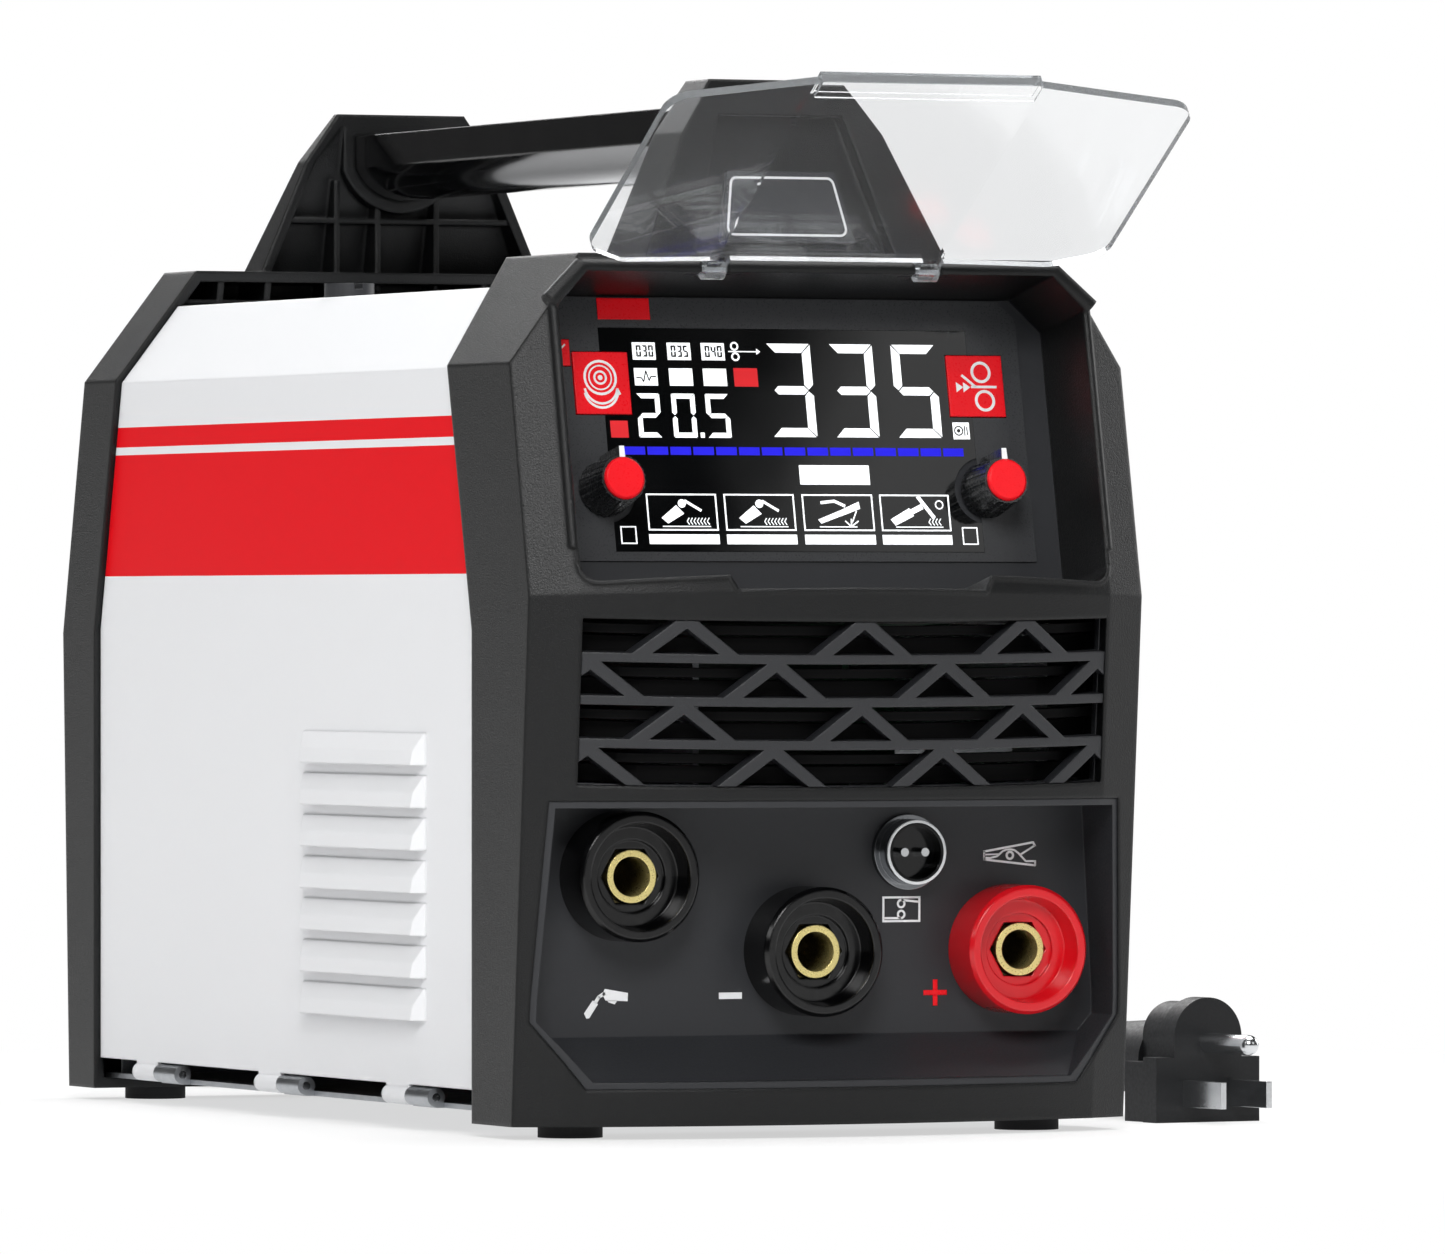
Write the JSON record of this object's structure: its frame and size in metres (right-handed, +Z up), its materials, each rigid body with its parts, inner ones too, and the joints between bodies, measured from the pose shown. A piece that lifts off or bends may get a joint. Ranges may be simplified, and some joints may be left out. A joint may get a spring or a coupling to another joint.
{
  "type": "wire-feed welding machine",
  "caption": "Portable wire-feed welding machine with control panel, clear lid, grille, cable sockets, carrying bar and mains lead.",
  "frame": {"origin": "centre of the machine's bounding box on the floor plane, without its lead and plug", "axes": "+X to the right of someone facing the controls, +Y to the back, +Z up"},
  "size_m": [0.2075, 0.5086, 0.2447],
  "materials": {
    "moulded_black": "fine texture",
    "gloss_black": "polished",
    "panel_black": "satin",
    "painted_light": "semi gloss paint",
    "zinc_sheet": "zinc plated",
    "bright_steel": "bright",
    "clear_sheet": "clear",
    "red_plastic": "satin",
    "brass": "turned",
    "nickel": "satin",
    "circuit_green": "lacquer",
    "rubber_black": "matt",
    "aluminium": "extruded",
    "iron_core": "laminated",
    "copper_wire": "drawn",
    "white_nylon": "matt"
  },
  "bodies": {
    "case": {"front_bezel": "moulded_black", "rear_bezel": "moulded_black", "front_grille": "moulded_black", "grille_slats": "panel_black", "cover": "painted_light", "door_hinge_pin": "bright_steel", "base_pan": "zinc_sheet", "feet": "rubber_black", "case_screws": "bright_steel", "handle_bar": "gloss_black", "badge_plate": "nickel", "visor_pins": "bright_steel", "panel_plate": "panel_black", "panel_overlay": "panel_black", "display_window": "gloss_black", "control_board": "circuit_green", "socket_panel": "panel_black", "black_collars": "moulded_black", "red_collar": "red_plastic", "torch_socket": "brass", "minus_socket": "brass", "plus_socket": "brass", "control_socket": "nickel", "control_pins": "panel_black", "main_board": "circuit_green", "transformer": "iron_core", "bulkhead": "zinc_sheet", "heat_sink": "aluminium", "feed_motor": "bright_steel", "feed_block": "panel_black", "spindle": "white_nylon", "wire_strand": "copper_wire", "rear_panel": "zinc_sheet", "fan_frame": "moulded_black", "fan_guard": "bright_steel", "switch_frame": "moulded_black", "cord_gland": "moulded_black", "mains_lead": "rubber_black", "cord_coil": "rubber_black", "plug_body": "rubber_black", "plug_pins": "nickel"},
    "visor": {"visor": "clear_sheet"},
    "knob_left": {"knob_left": "moulded_black", "knob_left_cap": "red_plastic"},
    "knob_right": {"knob_right": "moulded_black", "knob_right_cap": "red_plastic"},
    "key_spool": {"key_spool": "red_plastic"},
    "key_feed": {"key_feed": "red_plastic"},
    "key_mode": {"key_mode": "red_plastic"},
    "wire_door": {"wire_door": "painted_light"},
    "door_latch": {"door_latch": "panel_black"},
    "spool": {"spool": "moulded_black", "wire_winding": "copper_wire"},
    "spool_nut": {"spool_nut": "moulded_black"},
    "drive_roll": {"drive_roll": "bright_steel"},
    "pressure_arm": {"pressure_arm": "bright_steel"},
    "pressure_roll": {"pressure_roll": "bright_steel"},
    "tension_lever": {"tension_lever": "red_plastic"},
    "fan_rotor": {"fan_rotor": "moulded_black"},
    "power_rocker": {"power_rocker": "red_plastic"}
  },
  "joints": [
    {"name": "visor_hinge", "type": "hinge", "parent": "case", "child": "visor", "pos_m": [0, -0.11571, 0.1995], "axis": [1, 0, 0], "range_deg": [-20, 112]},
    {"name": "knob_left_turn", "type": "hinge", "parent": "case", "child": "knob_left", "pos_m": [-0.0485, -0.11093, 0.15059], "axis": [0, -0.9781, 0.2079], "range_deg": [-150, 150]},
    {"name": "knob_right_turn", "type": "hinge", "parent": "case", "child": "knob_right", "pos_m": [0.0485, -0.11093, 0.15059], "axis": [0, -0.9781, 0.2079], "range_deg": [-150, 150]},
    {"name": "key_spool_press", "type": "slide", "parent": "case", "child": "key_spool", "axis": [0, 0.9781, -0.2079], "range_m": [0, 0.0005], "stiffness_N_per_m": 400, "springref_m": -0.0005},
    {"name": "key_feed_press", "type": "slide", "parent": "case", "child": "key_feed", "axis": [0, 0.9781, -0.2079], "range_m": [0, 0.0005], "stiffness_N_per_m": 400, "springref_m": -0.0005},
    {"name": "key_mode_press", "type": "slide", "parent": "case", "child": "key_mode", "axis": [0, 0.9781, -0.2079], "range_m": [0, 0.0005], "stiffness_N_per_m": 400, "springref_m": -0.0005},
    {"name": "door_swing", "type": "hinge", "parent": "case", "child": "wire_door", "pos_m": [-0.075, 0.02078, 0.008], "axis": [0, -1, 0], "range_deg": [0, 90]},
    {"name": "latch_turn", "type": "hinge", "parent": "wire_door", "child": "door_latch", "pos_m": [-0.057, 0.03078, 0.196], "axis": [0, 0, -1], "range_deg": [0, 90]},
    {"name": "spool_spin", "type": "hinge", "parent": "case", "child": "spool", "pos_m": [-0.0395, 0.08278, 0.1], "axis": [1, 0, 0], "continuous": true},
    {"name": "spool_nut_turn", "type": "hinge", "parent": "case", "child": "spool_nut", "pos_m": [-0.067, 0.08278, 0.1], "axis": [1, 0, 0], "continuous": true},
    {"name": "drive_roll_spin", "type": "hinge", "parent": "case", "child": "drive_roll", "pos_m": [-0.0474, -0.00322, 0.045], "axis": [1, 0, 0], "continuous": true},
    {"name": "pressure_arm_swing", "type": "hinge", "parent": "case", "child": "pressure_arm", "pos_m": [-0.04, 0.02078, 0.078], "axis": [-1, 0, 0], "range_deg": [0, 50]},
    {"name": "pressure_roll_spin", "type": "hinge", "parent": "pressure_arm", "child": "pressure_roll", "pos_m": [-0.0474, -0.00322, 0.0717], "axis": [1, 0, 0], "continuous": true},
    {"name": "tension_lever_swing", "type": "hinge", "parent": "case", "child": "tension_lever", "pos_m": [-0.047, -0.02922, 0.072], "axis": [-1, 0, 0], "range_deg": [0, 70]},
    {"name": "fan_spin", "type": "hinge", "parent": "case", "child": "fan_rotor", "pos_m": [0.031, 0.13078, 0.1], "axis": [0, 1, 0], "continuous": true},
    {"name": "power_rocker_tip", "type": "hinge", "parent": "case", "child": "power_rocker", "pos_m": [0.031, 0.14248, 0.16], "axis": [1, 0, 0], "range_deg": [0, 24]}
  ],
  "couplings": [
    {"joint": "pressure_roll_spin", "follows": "drive_roll_spin", "ratio": -1.3636}
  ]
}
